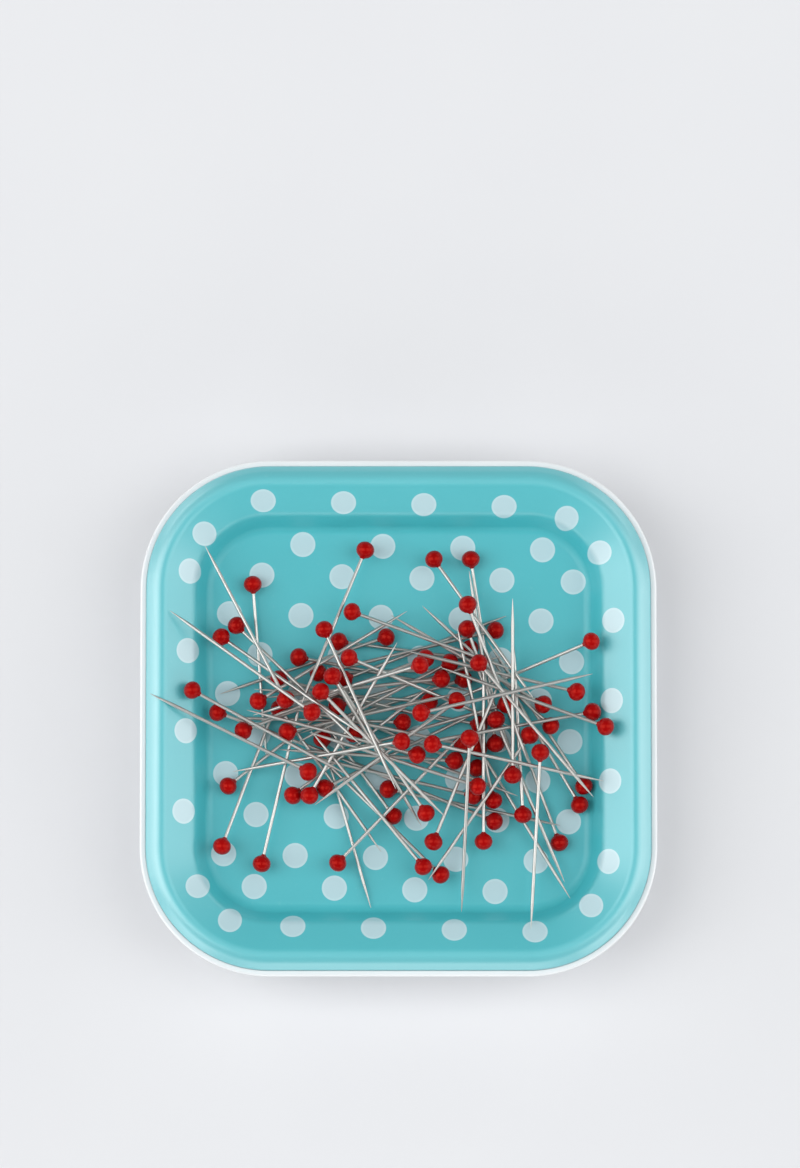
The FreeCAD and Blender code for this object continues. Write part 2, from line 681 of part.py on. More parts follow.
def main():
    os.makedirs("parts", exist_ok=True)
    write("tray", tray())
    write("base_shell", base_shell())
    for side, place in zip(("left", "right"), magnet_places()):
        write("magnet_" + side, magnet(place))
    write("magnet_pads", magnet_pads())
    write("shell_screws", Part.Compound([screw(x, y) for x, y in foot_places()]))
    write("anti_slip_feet", Part.Compound([foot(x, y) for x, y in foot_places()]))
    layers, loose = lay_pile()
    for number, pins in enumerate(layers, 1):
        write("layer_%d_pin_shafts" % number, Part.Compound([pin_shaft(p) for p in pins]))
        write("layer_%d_pin_heads" % number, Part.Compound([pin_head(p) for p in pins]))
    for number, pin in enumerate(loose, 1):
        write("loose_pin_%02d_shaft" % number, pin_shaft(pin))
        write("loose_pin_%02d_head" % number, pin_head(pin))
    print("highest head centre", round(max(pin.head[2] for group in layers + [loose]
                                           for pin in group), 2))


main()
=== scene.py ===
# %% [markdown]
# # A magnetic pin bowl
# A rounded square dish of turquoise plastic with printed dots sits in a white lower shell.
# Two disc magnets under its floor hold a pile of glass-headed pins. The solids are already
# made and placed: this lesson dresses them. It starts with that fixed frame, because each
# piece made here takes its place and its size from it.

# %% Load the frame
import math

import bmesh
import bpy
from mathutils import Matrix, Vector


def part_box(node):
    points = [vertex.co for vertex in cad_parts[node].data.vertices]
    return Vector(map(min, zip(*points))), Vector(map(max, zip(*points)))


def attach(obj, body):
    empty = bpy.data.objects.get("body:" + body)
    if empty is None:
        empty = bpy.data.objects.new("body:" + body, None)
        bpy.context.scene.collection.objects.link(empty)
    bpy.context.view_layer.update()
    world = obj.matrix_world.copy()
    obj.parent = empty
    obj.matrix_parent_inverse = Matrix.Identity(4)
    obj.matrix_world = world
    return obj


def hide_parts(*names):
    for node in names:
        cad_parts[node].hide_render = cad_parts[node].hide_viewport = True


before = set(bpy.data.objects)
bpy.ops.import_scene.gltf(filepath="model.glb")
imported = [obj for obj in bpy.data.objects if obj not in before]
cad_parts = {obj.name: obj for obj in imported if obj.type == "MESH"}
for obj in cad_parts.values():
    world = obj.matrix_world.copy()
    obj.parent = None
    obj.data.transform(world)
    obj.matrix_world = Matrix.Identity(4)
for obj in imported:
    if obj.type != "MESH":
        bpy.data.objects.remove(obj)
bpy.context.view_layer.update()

MM = 0.001

# %% [markdown]
# Node trees are easier to read as sums than as boxes and wires. `Value` wraps one socket and
# overloads the arithmetic signs, so `1 - mask * 0.3` adds its own Math nodes. `Nodes` adds
# any other node: its settings come first, because some settings change its sockets.

# %% Writing node trees as sums
class Value:
    """A number in a node tree, which can be used in sums."""

    def __init__(self, nodes, socket):
        self.nodes = nodes
        self.socket = socket

    def maths(self, operation, *terms):
        """The result of one Math node on these terms."""
        node = self.nodes.add("ShaderNodeMath", {"operation": operation},
                              dict(enumerate(terms)))
        return Value(self.nodes, node.outputs[0])

    def __add__(self, other):
        return self.maths("ADD", self, other)

    def __sub__(self, other):
        return self.maths("SUBTRACT", self, other)

    def __rsub__(self, other):
        return self.maths("SUBTRACT", other, self)

    def __mul__(self, other):
        return self.maths("MULTIPLY", self, other)

    def __truediv__(self, other):
        return self.maths("DIVIDE", self, other)

    def __rtruediv__(self, other):
        return self.maths("DIVIDE", other, self)

    __radd__ = __add__
    __rmul__ = __mul__


class Nodes:
    """A node tree, and the one way in which nodes are added to it."""

    def __init__(self, tree):
        self.tree = tree

    def add(self, kind, settings=None, sockets=None):
        """A new node: its settings first, then a value or a link for each named socket."""
        node = self.tree.nodes.new(kind)
        for name, setting in (settings or {}).items():
            setattr(node, name, setting)
        for name, value in (sockets or {}).items():
            self.feed(node.inputs[name], value)
        return node

    def feed(self, socket, value):
        """Link a socket to another one or to a Value, or set it to a constant."""
        value = getattr(value, "socket", value)
        if isinstance(value, bpy.types.NodeSocket):
            self.tree.links.new(value, socket)
        else:
            socket.default_value = value

    def value(self, node, output=0):
        """One of a node's outputs, ready for sums."""
        return Value(self, node.outputs[output])


print("helpers for node trees:", Value.__name__, Nodes.__name__)

# %% [markdown]
# A finish is a material with one Principled shader. Colours are written as they look on the
# screen, 0 to 255, and turned into the linear light values that the shader wants. The
# helpers below give a finish its patterns: noise, smooth steps, colour mixes and bumps, all
# in millimetres of the object's own coordinates.

# %% A finish and its patterns
def colour(red, green, blue):
    """A screen colour as linear light."""
    def linear(level):
        level /= 255
        return level / 12.92 if level <= 0.04045 else ((level + 0.055) / 1.055) ** 2.4

    return (linear(red), linear(green), linear(blue), 1.0)


class Finish(Nodes):
    """A material with one Principled shader, read in millimetres."""

    def __init__(self, name, **constants):
        self.material = bpy.data.materials.new(name)
        self.material.use_nodes = True
        super().__init__(self.material.node_tree)
        self.shader = self.tree.nodes["Principled BSDF"]
        for socket, value in constants.items():
            self.shader.inputs[socket.replace("_", " ")].default_value = value
        self.place = self.add("ShaderNodeTexCoord").outputs["Object"]

    def set(self, socket, value):
        """Give a socket of the shader a value, or a pattern that varies."""
        self.feed(self.shader.inputs[socket], value)

    def coordinates(self):
        """The object's X, Y and Z in millimetres."""
        parts = self.add("ShaderNodeSeparateXYZ", sockets={0: self.place})
        return [self.value(parts, axis) * (1 / MM) for axis in range(3)]

    def outwards(self):
        """The level direction from the middle of the object to the point."""
        level = self.add("ShaderNodeVectorMath", {"operation": "MULTIPLY"},
                         {0: self.place, 1: (1, 1, 0)})
        unit = self.add("ShaderNodeVectorMath", {"operation": "NORMALIZE"},
                        {0: level.outputs[0]})
        return unit.outputs[0]

    def noise(self, size, detail=2.0, stretch=(1, 1, 1)):
        """Soft cloudy noise whose patches are about size millimetres across."""
        scale = [factor / (size * MM) for factor in stretch]
        place = self.add("ShaderNodeVectorMath", {"operation": "MULTIPLY"},
                         {0: self.place, 1: scale})
        return self.value(self.add("ShaderNodeTexNoise", {},
                                   {"Vector": place.outputs[0], "Scale": 1.0,
                                    "Detail": detail}))

    def step(self, value, low, high):
        """0 below low and 1 above high, with a smooth rise between."""
        return self.value(self.add("ShaderNodeMapRange",
                                   {"interpolation_type": "SMOOTHSTEP"},
                                   {"Value": value, "From Min": low, "From Max": high}))

    def blend(self, factor, first, second):
        """A colour between two colours."""
        node = self.add("ShaderNodeMix", {"data_type": "RGBA"},
                        {0: factor, 6: first, 7: second})
        return node.outputs[2]

    def bump(self, height, depth):
        """Raise the surface by height, where 1 is so many millimetres."""
        node = self.add("ShaderNodeBump", {}, {"Height": height, "Distance": depth * MM})
        self.set("Normal", node.outputs[0])


print("a middle grey as linear light:", [round(level, 3) for level in colour(128, 128, 128)])

# %% [markdown]
# The bowl was seen from straight above, a little towards its front edge, through a long
# lens. A long lens far away keeps the sides from showing. The frame is 1168 pixels high
# for 199 mm of table, and the bowl sits below its middle.

# %% The camera
IMAGE_WIDTH, IMAGE_HEIGHT = 800, 1168
BOWL_CENTRE_PIXEL = (398.5, 717.0)
FRAME_HEIGHT = 198.8 * MM
LENS = 200.0
SENSOR = 36.0
TILT = math.radians(5.2)
CAMERA_SEES_TO = 20.0
RIM_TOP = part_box("tray")[1].z

MM_PER_PIXEL = FRAME_HEIGHT / IMAGE_HEIGHT
AIM = Vector(((IMAGE_WIDTH / 2 - BOWL_CENTRE_PIXEL[0]) * MM_PER_PIXEL,
              (BOWL_CENTRE_PIXEL[1] - IMAGE_HEIGHT / 2) * MM_PER_PIXEL, RIM_TOP))
DISTANCE = FRAME_HEIGHT * LENS / SENSOR
TOWARDS_CAMERA = Vector((0, -math.sin(TILT), math.cos(TILT)))


def look_at(obj, target):
    """Turn a camera or a lamp, which looks down its own -Z, towards a point."""
    obj.rotation_euler = (target - obj.location).to_track_quat("-Z", "Y").to_euler()


camera = bpy.data.objects.new("camera", bpy.data.cameras.new("camera"))
bpy.context.scene.collection.objects.link(camera)
camera.data.lens = LENS
camera.data.sensor_width = SENSOR
camera.data.clip_end = CAMERA_SEES_TO
camera.location = AIM + TOWARDS_CAMERA * DISTANCE
look_at(camera, AIM)
bpy.context.scene.camera = camera
print("camera stands", round(DISTANCE, 3), "m away")

# %% [markdown]
# Plain studio light: two high soft boxes stand at the left and right, and light each bead
# from both sides. Low ones stand round the bowl on all sides but the back, so that the
# rolled rim carries a broad pale gleam that dies away along its back edge. They stand well
# away, so that the floor round the bowl is lit evenly. Each box is given by where it stands
# and by how bright it looks in a mirror; its watts follow from its size.

# %% The lamps and the surround
BOX_DISTANCE = 2.5
SOFT_BOXES = {
    # name: (direction, height angle, width, height, brightness)
    "left_box": (180, 55, 1.67, 2.22, 2.15),
    "right_box": (0, 55, 1.67, 2.22, 1.6),
    "left_low": (180, 15, 1.53, 1.17, 1.6),
    "front_left_low": (225, 15, 1.39, 1.17, 1.5),
    "front_low": (270, 14, 1.53, 1.06, 1.1),
    "front_right_low": (315, 15, 1.39, 1.17, 1.4),
    "right_low": (0, 15, 1.53, 1.17, 1.5),
    "back_right_low": (45, 15, 1.25, 1.06, 1.1),
    "back_left_low": (135, 15, 1.25, 1.06, 1.3),
}
WATTS_PER_BRIGHTNESS = 4.0
SURROUND = 0.30
SURROUND_TINT = (0.97, 0.985, 1.0, 1.0)


def soft_box(name, direction, height_angle, width, height, brightness):
    """An area lamp that looks at the bowl. Angles are in degrees, sizes in metres."""
    lamp = bpy.data.lights.new(name, "AREA")
    lamp.shape = "RECTANGLE"
    lamp.size = width
    lamp.size_y = height
    lamp.energy = brightness * WATTS_PER_BRIGHTNESS * width * height
    obj = bpy.data.objects.new(name, lamp)
    bpy.context.scene.collection.objects.link(obj)
    turn, rise = math.radians(direction), math.radians(height_angle)
    obj.location = Vector((math.cos(turn) * math.cos(rise), math.sin(turn) * math.cos(rise),
                           math.sin(rise))) * BOX_DISTANCE
    look_at(obj, Vector((0, 0, RIM_TOP)))


for name, box in SOFT_BOXES.items():
    soft_box(name, *box)

world = bpy.data.worlds.new("studio")
bpy.context.scene.world = world
world.use_nodes = True
background = world.node_tree.nodes["Background"]
background.inputs["Color"].default_value = SURROUND_TINT
background.inputs["Strength"].default_value = SURROUND
print("lamps:", len(SOFT_BOXES))

# %% [markdown]
# The bowl stands on a plain off-white table, which is only a stage: it isn't part of the
# object, but it shows in its reflections and carries its shadow.

# %% The pale floor
FLOOR_SIZE = 12.0
pale = Finish("pale_floor", Roughness=0.9, Specular_IOR_Level=0.1)
pale.set("Base Color", pale.blend(pale.noise(40.0), colour(221, 222, 225),
                                  colour(224, 225, 227)))
bpy.ops.mesh.primitive_plane_add(size=FLOOR_SIZE, location=(0, 0, 0))
floor = bpy.context.object
floor.name = "floor"
floor.data.materials.append(pale.material)
print("floor:", FLOOR_SIZE, "m wide")

# %% [markdown]
# The view transform is Standard, so that a colour renders about as it is written.

# %% Colour management
bpy.context.scene.view_settings.view_transform = "Standard"
print("view transform:", bpy.context.scene.view_settings.view_transform)

# %% [markdown]
# ## The dish
# The dish is one moulding with the same section all round: a rolled edge, a sloping
# shoulder, a steep wall and a flat floor. Its outline is a rounded square, and each line of
# the section runs parallel to it. So the rule is a sweep: the section is carried round the
# outline. Geometry Nodes do that, and the Fillet Curve node rounds both curves, with a
# radius of its own for each corner of the section.

# %% The dish's section
BOWL_CORNER_RADIUS = 22.0
RIM_EDGE_INSET = 1.0
RIM_ROLL_INSET = 2.66
RIM_CREST_INSET = 4.3
KNEE_INSET = 9.3
RIM_EDGE_SLOPE = math.radians(42.0)
SHOULDER_SLOPE = math.radians(27.0)
WALL_SLOPE = math.radians(62.0)
EDGE_RADIUS, ROLL_RADIUS, CREST_RADIUS = 0.8, 2.7, 2.2
KNEE_RADIUS, FOOT_FILLET = 2.4, 2.0
TRAY_WALL = 1.8
DISH_DEPTH = 6.5
FLOOR_RUN = 3.0

HALF_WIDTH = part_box("base_shell")[1].x / MM
RIM_HEIGHT = RIM_TOP / MM
FLOOR_HEIGHT = RIM_HEIGHT - DISH_DEPTH
LEDGE_HEIGHT = 14.2


def dish_section():
    """Points of the dish's upper face: inset from the bowl's edge, height, rounding."""
    edge_height = RIM_HEIGHT - (RIM_ROLL_INSET - RIM_EDGE_INSET) * math.tan(RIM_EDGE_SLOPE)
    knee_height = RIM_HEIGHT - (KNEE_INSET - RIM_CREST_INSET) * math.tan(SHOULDER_SLOPE)
    foot_inset = KNEE_INSET + (knee_height - FLOOR_HEIGHT) / math.tan(WALL_SLOPE)
    return [(RIM_EDGE_INSET, LEDGE_HEIGHT, 0.0),
            (RIM_EDGE_INSET, edge_height, EDGE_RADIUS),
            (RIM_ROLL_INSET, RIM_HEIGHT, ROLL_RADIUS),
            (RIM_CREST_INSET, RIM_HEIGHT, CREST_RADIUS),
            (KNEE_INSET, knee_height, KNEE_RADIUS),
            (foot_inset, FLOOR_HEIGHT, FOOT_FILLET),
            (foot_inset + FLOOR_RUN, FLOOR_HEIGHT, 0.0)]


print("dish section:", [tuple(round(v, 2) for v in point) for point in dish_section()])

# %% [markdown]
# Geometry Nodes build a shape from a recipe with named inputs, so a size can be changed
# without touching the steps. `Recipe` makes such a tree. `make` gives it a starting mesh and
# its inputs by their identifiers, lets Blender work it out once, and keeps the result as a
# plain mesh, so that no modifier is left on the finished piece.

# %% Geometry recipes
class Recipe(Nodes):
    """A Geometry Nodes tree with named inputs."""

    def __init__(self, name, inputs):
        tree = bpy.data.node_groups.new(name, "GeometryNodeTree")
        super().__init__(tree)
        tree.interface.new_socket("Geometry", in_out="INPUT",
                                  socket_type="NodeSocketGeometry")
        for label, kind in inputs.items():
            tree.interface.new_socket(label, in_out="INPUT",
                                      socket_type="NodeSocket" + kind)
        tree.interface.new_socket("Geometry", in_out="OUTPUT",
                                  socket_type="NodeSocketGeometry")
        self.start = self.add("NodeGroupInput")

    def given(self, label):
        """The recipe's own input of that name."""
        return Value(self, self.start.outputs[label])

    def attribute(self, name, kind="FLOAT"):
        """A value that each point of the starting mesh carries."""
        node = self.add("GeometryNodeInputNamedAttribute", {"data_type": kind},
                        {"Name": name})
        return self.value(node)

    def end(self, geometry):
        """Every recipe ends in real faces with a material."""
        real = self.add("GeometryNodeRealizeInstances", {}, {0: geometry})
        smooth = self.add("GeometryNodeSetShadeSmooth", {}, {0: real.outputs[0]})
        painted = self.add("GeometryNodeSetMaterial", {},
                           {"Geometry": smooth.outputs[0],
                            "Material": self.given("Material")})
        self.add("NodeGroupOutput", {}, {0: painted.outputs[0]})

    def make(self, name, mesh, **inputs):
        """Run the recipe on a mesh and return a new object with the plain result."""
        source = bpy.data.objects.new(name + "_start", mesh)
        bpy.context.scene.collection.objects.link(source)
        recipe = source.modifiers.new("recipe", "NODES")
        recipe.node_group = self.tree
        labels = {item.name: item.identifier for item in self.tree.interface.items_tree
                  if item.in_out == "INPUT"}
        for label, value in inputs.items():
            recipe[labels[label.replace("_", " ")]] = value
        return finished(name, source)


def finished(name, source):
    """Turn an object and its modifiers into a new object with a plain mesh."""
    view = bpy.context.evaluated_depsgraph_get()
    mesh = bpy.data.meshes.new_from_object(source.evaluated_get(view))
    mesh.name = name
    piece = bpy.data.objects.new(name, mesh)
    bpy.context.scene.collection.objects.link(piece)
    bpy.data.objects.remove(source)
    return piece


def dress(piece, body, slot, *nodes):
    """Hang a new piece on the body it rides on, and hide the CAD nodes that it stands for.
    The slot is not used.
    """
    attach(piece, body)
    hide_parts(*nodes)


print("helpers for shapes:", Recipe.__name__, finished.__name__, dress.__name__)

# %% [markdown]
# ## The turquoise plastic and its dots
# The dish is moulded from a printed sheet of glossy plastic. The dots sit on a square
# lattice turned by 45 degrees, less 1.3 because the sheet lies a little askew, and where the
# sheet was drawn over the wall they lie closer to the middle. So the pattern is worked out
# in the sheet: find the nearest point of the lattice there, pull it in as the wall does, and
# measure how far it is. The corner dots follow no lattice and are placed one by one.

# %% The dot pattern
DOT_PITCH = 9.69
DOT_TURN = math.radians(45.0 - 1.3)
DOT_ANCHOR = (3.7, 10.5)
DOT_RADIUS = 2.14
RIM_DOT_SQUEEZE = 0.15
WALL_PULL = 1.5
WALL_FROM, WALL_TO = 24.0, 29.4
SHEET_WALL_TO = 31.0
RIM_FROM, RIM_TO = 31.0, 34.0
LAST_DOT_INSET, LAST_DOT_BLUR = 4.0, 1.0
CORNER_FROM, CORNER_BLUR = 28.0, 0.5
CORNER_DOTS = [(-33.1, 31.4), (28.7, 34.1), (34.3, 28.2),
               (-34.1, -28.7), (-28.6, -34.5), (32.7, -32.0)]
CORNER_DOT_RADIUS = 2.02
FAR_AWAY = 9.0


def absolute(value):
    """The value without its sign."""
    return value.maths("ABSOLUTE", value)


def smaller(one, other):
    """The smaller of two values."""
    return one.maths("MINIMUM", one, other)


def reach(x, y):
    """How far a point lies from the middle of a dot."""
    square = x * x + y * y
    return square.maths("SQRT", square)


def dots(finish):
    """How far a point of the dish lies from the middle of the nearest dot."""
    x, y, _ = finish.coordinates()

    def pull(value, low, high):
        """How far the wall pulled the sheet in, along one axis."""
        sign = value.maths("SIGN", value)
        return sign * finish.step(absolute(value), low, high) * WALL_PULL

    across = (x + pull(x, WALL_FROM, WALL_TO)) - DOT_ANCHOR[0]
    up = (y + pull(y, WALL_FROM, WALL_TO)) - DOT_ANCHOR[1]
    cosine, sine = math.cos(DOT_TURN), math.sin(DOT_TURN)
    first = (across * cosine + up * sine) / DOT_PITCH
    second = (up * cosine - across * sine) / DOT_PITCH
    first, second = (value.maths("ROUND", value) * DOT_PITCH for value in (first, second))
    sheet_x = first * cosine - second * sine + DOT_ANCHOR[0]
    sheet_y = first * sine + second * cosine + DOT_ANCHOR[1]
    middle_x = sheet_x - pull(sheet_x, WALL_FROM, SHEET_WALL_TO)
    middle_y = sheet_y - pull(sheet_y, WALL_FROM, SHEET_WALL_TO)
    squeezed = []
    for place, middle in ((x, middle_x), (y, middle_y)):
        squeeze = finish.step(absolute(middle), RIM_FROM, RIM_TO) * RIM_DOT_SQUEEZE + 1
        squeezed.append((place - middle) * squeeze)
    # the lattice stops at the bowl's edge and before its corners
    from_middle = absolute(middle_x), absolute(middle_y)
    outermost = from_middle[0].maths("MAXIMUM", *from_middle)
    corner = smaller(*from_middle)
    last = HALF_WIDTH - LAST_DOT_INSET
    beyond = (finish.step(outermost, last - LAST_DOT_BLUR, last)
              + finish.step(corner, CORNER_FROM - CORNER_BLUR, CORNER_FROM))
    away = reach(*squeezed) + beyond * FAR_AWAY
    swell = DOT_RADIUS / CORNER_DOT_RADIUS
    for corner_x, corner_y in CORNER_DOTS:
        away = smaller(away, reach((x - corner_x) * swell, (y - corner_y) * swell))
    return away


print("dots placed one by one:", len(CORNER_DOTS))

# %% [markdown]
# The finish lays that pattern over the plastic: the ink's edge is a little blurred, and the
# ink is slightly paler in a ring inside its edge. Cloudiness, a fine grain and small rubs
# keep the plastic from looking painted. High up on the rim the sheet is glossier, and most
# of all where it faces outwards, because hands polish it there.

# %% The finish of the dish
EDGE_BLUR = 0.07
INK_RING = (0.5, 0.15)
GLOSS_FROM, GLOSS_TO = 13.0, 15.5
POLISH_TO = 0.40
tray_finish = Finish("turquoise_plastic", Specular_IOR_Level=0.55, Coat_Roughness=0.38,
                     Coat_IOR=2.5)
away = dots(tray_finish)
printed = 1 - tray_finish.step(away, DOT_RADIUS - EDGE_BLUR, DOT_RADIUS + EDGE_BLUR)
rimmed = printed * tray_finish.step(away, *(DOT_RADIUS - inset for inset in INK_RING))
clouds = tray_finish.noise(14.0, detail=3.0)
grain = tray_finish.noise(0.35, detail=2.0)
rubs = tray_finish.step(tray_finish.noise(1.1, detail=4.0), 0.64, 0.78)
plastic = tray_finish.blend(clouds, colour(66, 181, 190), colour(73, 186, 195))
plastic = tray_finish.blend(grain * 0.10, plastic, colour(110, 196, 206))
plastic = tray_finish.blend(rubs * 0.08, plastic, colour(150, 210, 216))
ink = tray_finish.blend(rimmed, colour(181, 212, 219), colour(189, 219, 225))
ink = tray_finish.blend(grain * 0.12, ink, colour(171, 206, 214))
tray_finish.set("Base Color", tray_finish.blend(printed, plastic, ink))
_, _, above_table = tray_finish.coordinates()
high = tray_finish.step(above_table, GLOSS_FROM, GLOSS_TO)
tray_finish.set("Roughness", clouds * 0.05 + grain * 0.05 + printed * 0.04
                + rubs * 0.08 - high * 0.10 + 0.37)
places = tray_finish.add("ShaderNodeNewGeometry")
facing = tray_finish.add("ShaderNodeVectorMath", {"operation": "DOT_PRODUCT"},
                         {0: places.outputs["Normal"], 1: tray_finish.outwards()})
polish = tray_finish.step(tray_finish.value(facing, "Value"), 0.0, POLISH_TO)
tray_finish.set("Coat Weight", high * (polish * 0.55 + 0.35) + 0.04)
tray_finish.bump(grain * 0.25 + clouds + printed * 0.4, 0.010)
print("turquoise nodes:", len(tray_finish.tree.nodes))

# %% [markdown]
# The recipe for the sweep takes the section as a chain of edges, and each of its points
# carries its own rounding. The sweep lays the chain's minus X inwards from the outline and
# its minus Y upwards, so insets and heights go in with their signs turned.

# %% The swept dish
SWEEP_CORNER_STEPS = 28
SWEEP_ROUNDING_STEPS = 14

sweep = Recipe("swept_dish", {"Width": "Float", "Corner Radius": "Float",
                              "Corner Steps": "Int", "Rounding Steps": "Int",
                              "Material": "Material"})
section = sweep.add("GeometryNodeMeshToCurve", {}, {0: sweep.start.outputs["Geometry"]})
section = sweep.add("GeometryNodeFilletCurve", {"mode": "POLY"},
                    {"Curve": section.outputs[0], "Count": sweep.given("Rounding Steps"),
                     "Radius": sweep.attribute("rounding")})
outline = sweep.add("GeometryNodeCurvePrimitiveQuadrilateral", {},
                    {"Width": sweep.given("Width"), "Height": sweep.given("Width")})
outline = sweep.add("GeometryNodeFilletCurve", {"mode": "POLY"},
                    {"Curve": outline.outputs[0], "Count": sweep.given("Corner Steps"),
                     "Radius": sweep.given("Corner Radius")})
swept = sweep.add("GeometryNodeCurveToMesh", {},
                  {"Curve": outline.outputs[0], "Profile Curve": section.outputs[0]})
sweep.end(swept.outputs[0])

chain = bpy.data.meshes.new("dish_section")
chain.from_pydata([(-inset * MM, -height * MM, 0) for inset, height, _ in dish_section()],
                  [(index, index + 1) for index in range(len(dish_section()) - 1)], [])
rounding = chain.attributes.new("rounding", "FLOAT", "POINT")
rounding.data.foreach_set("value", [radius * MM for _, _, radius in dish_section()])
dish = sweep.make("turquoise_dish", chain, Width=2 * HALF_WIDTH * MM,
                  Corner_Radius=BOWL_CORNER_RADIUS * MM, Corner_Steps=SWEEP_CORNER_STEPS,
                  Rounding_Steps=SWEEP_ROUNDING_STEPS, Material=tray_finish.material)
print("swept dish:", len(dish.data.polygons), "faces")

# %% [markdown]
# The sweep leaves the middle of the floor open. One flat face closes it, and Solidify then
# gives the sheet its wall on the hidden side. The collars that hold the magnets and the
# bosses that take the screws hang under the floor, as in the real moulding.

# %% The dish's floor, wall and collars
COLLARS = [
    # x, y, inner radius, outer radius, bottom
    (-15.5, 0.0, 12.2, 13.6, 5.8),
    (15.5, 0.0, 12.2, 13.6, 5.8),
    (-24.0, -24.0, 1.5, 3.4, 5.6),
    (24.0, -24.0, 1.5, 3.4, 5.6),
    (-24.0, 24.0, 1.5, 3.4, 5.6),
    (24.0, 24.0, 1.5, 3.4, 5.6),
]
COLLAR_ROOT = 0.3
COLLAR_SIDES = 64
SAME_PLACE = 1e-6
SAME_LEVEL = 1e-5


def close_floor(mesh):
    """Fill the open middle of the swept floor and turn every face outwards."""
    shape = bmesh.new()
    shape.from_mesh(mesh)
    bmesh.ops.remove_doubles(shape, verts=shape.verts, dist=SAME_PLACE)
    level = FLOOR_HEIGHT * MM
    inner = [edge for edge in shape.edges if edge.is_boundary
             and all(abs(vert.co.z - level) < SAME_LEVEL for vert in edge.verts)]
    middle = bmesh.ops.contextual_create(shape, geom=inner)["faces"]
    for face in middle:
        face.smooth = True
    bmesh.ops.recalc_face_normals(shape, faces=shape.faces)
    if middle[0].normal.z < 0:
        bmesh.ops.reverse_faces(shape, faces=shape.faces)
    shape.to_mesh(mesh)
    shape.free()


def add_collar(shape, x, y, inner, outer, bottom, top):
    """A short closed tube under the floor."""
    rings = []
    for radius, height in ((inner, bottom), (outer, bottom), (outer, top), (inner, top)):
        ring = []
        for side in range(COLLAR_SIDES):
            angle = math.tau * side / COLLAR_SIDES
            ring.append(shape.verts.new(((x + radius * math.cos(angle)) * MM,
                                         (y + radius * math.sin(angle)) * MM,
                                         height * MM)))
        rings.append(ring)
    faces = []
    for lower, upper in zip(rings, rings[1:] + rings[:1]):
        for side in range(COLLAR_SIDES):
            after = (side + 1) % COLLAR_SIDES
            faces.append(shape.faces.new((lower[side], lower[after], upper[after],
                                          upper[side])))
    bmesh.ops.recalc_face_normals(shape, faces=faces)


close_floor(dish.data)
wall = dish.modifiers.new("wall", "SOLIDIFY")
wall.thickness = TRAY_WALL * MM
wall.offset = -1.0
wall.use_even_offset = True
dish = finished("turquoise_dish", dish)
shape = bmesh.new()
shape.from_mesh(dish.data)
underside = FLOOR_HEIGHT - TRAY_WALL
for x, y, inner, outer, bottom in COLLARS:
    add_collar(shape, x, y, inner, outer, bottom, underside + COLLAR_ROOT)
shape.to_mesh(dish.data)
shape.free()
dress(dish, "bowl", "tray", "tray")
print("dish:", len(dish.data.polygons), "faces")

# %% [markdown]
# ## The white lower shell
# The shell is glossy white plastic. Its solid already has the right shape, so only its
# material changes: a faint cloudiness from the moulding, a fine grain, and small rubs.

# %% The white plastic
def wear(node, finish):
    """Give a CAD node its finish."""
    for slot in bpy.data.objects[node].material_slots:
        slot.material = finish.material


white = Finish("white_plastic", Specular_IOR_Level=0.5, Coat_Roughness=0.16)
clouds = white.noise(18.0, detail=3.0)
grain = white.noise(0.4, detail=2.0)
rubs = white.step(white.noise(2.4, detail=2.0, stretch=(1, 1, 0.5)), 0.62, 0.80)
cast = white.blend(clouds, colour(226, 230, 232), colour(236, 239, 241))
white.set("Base Color", white.blend(rubs * 0.08, cast, colour(205, 209, 212)))
white.set("Roughness", clouds * 0.05 + grain * 0.02 + rubs * 0.03 + 0.25)
white.set("Coat Weight", 0.35 - rubs * 0.04)
white.bump(clouds + grain * 0.01, 0.012)
wear("base_shell", white)
print("white shell:", bpy.data.objects["base_shell"].material_slots[0].material.name)

# %% [markdown]
# ## Magnets, pads, screws and feet
# The magnets are nickel plated, with the soft mottle of a plated part. The pads under them
# are black foam with open-looking cells, the screws zinc plated steel with turning marks,
# and the feet soft milky rubber that has picked up a little dust.

# %% The metal, foam and rubber
FOAM_CELL = 0.35

nickel = Finish("nickel_plating", Metallic=1.0)
mottle = nickel.noise(1.2, detail=4.0)
fine = nickel.noise(0.15, detail=2.0)
nickel.set("Base Color", nickel.blend(mottle, colour(176, 174, 168), colour(206, 204, 199)))
nickel.set("Roughness", mottle * 0.18 + fine * 0.08 + 0.18)
nickel.bump(mottle * 0.6 + fine * 0.4, 0.006)
wear("magnet_left", nickel)
wear("magnet_right", nickel)

foam = Finish("black_foam", Specular_IOR_Level=0.2)
cells = foam.value(foam.add("ShaderNodeTexVoronoi", {},
                            {"Vector": foam.place, "Scale": 1 / (FOAM_CELL * MM)}))
dust = foam.noise(2.5, detail=3.0)
foam.set("Base Color", foam.blend(dust * 0.4, colour(32, 32, 34), colour(58, 58, 60)))
foam.set("Roughness", cells * 0.1 + 0.85)
foam.bump(cells, 0.12)
wear("magnet_pads", foam)

zinc = Finish("zinc_plating", Metallic=1.0)
turned = zinc.noise(0.12, detail=2.0, stretch=(1, 1, 4))
spots = zinc.noise(0.8, detail=3.0)
zinc.set("Base Color", zinc.blend(spots, colour(168, 172, 176), colour(200, 202, 204)))
zinc.set("Roughness", turned * 0.2 + spots * 0.1 + 0.22)
zinc.bump(turned, 0.01)
wear("shell_screws", zinc)

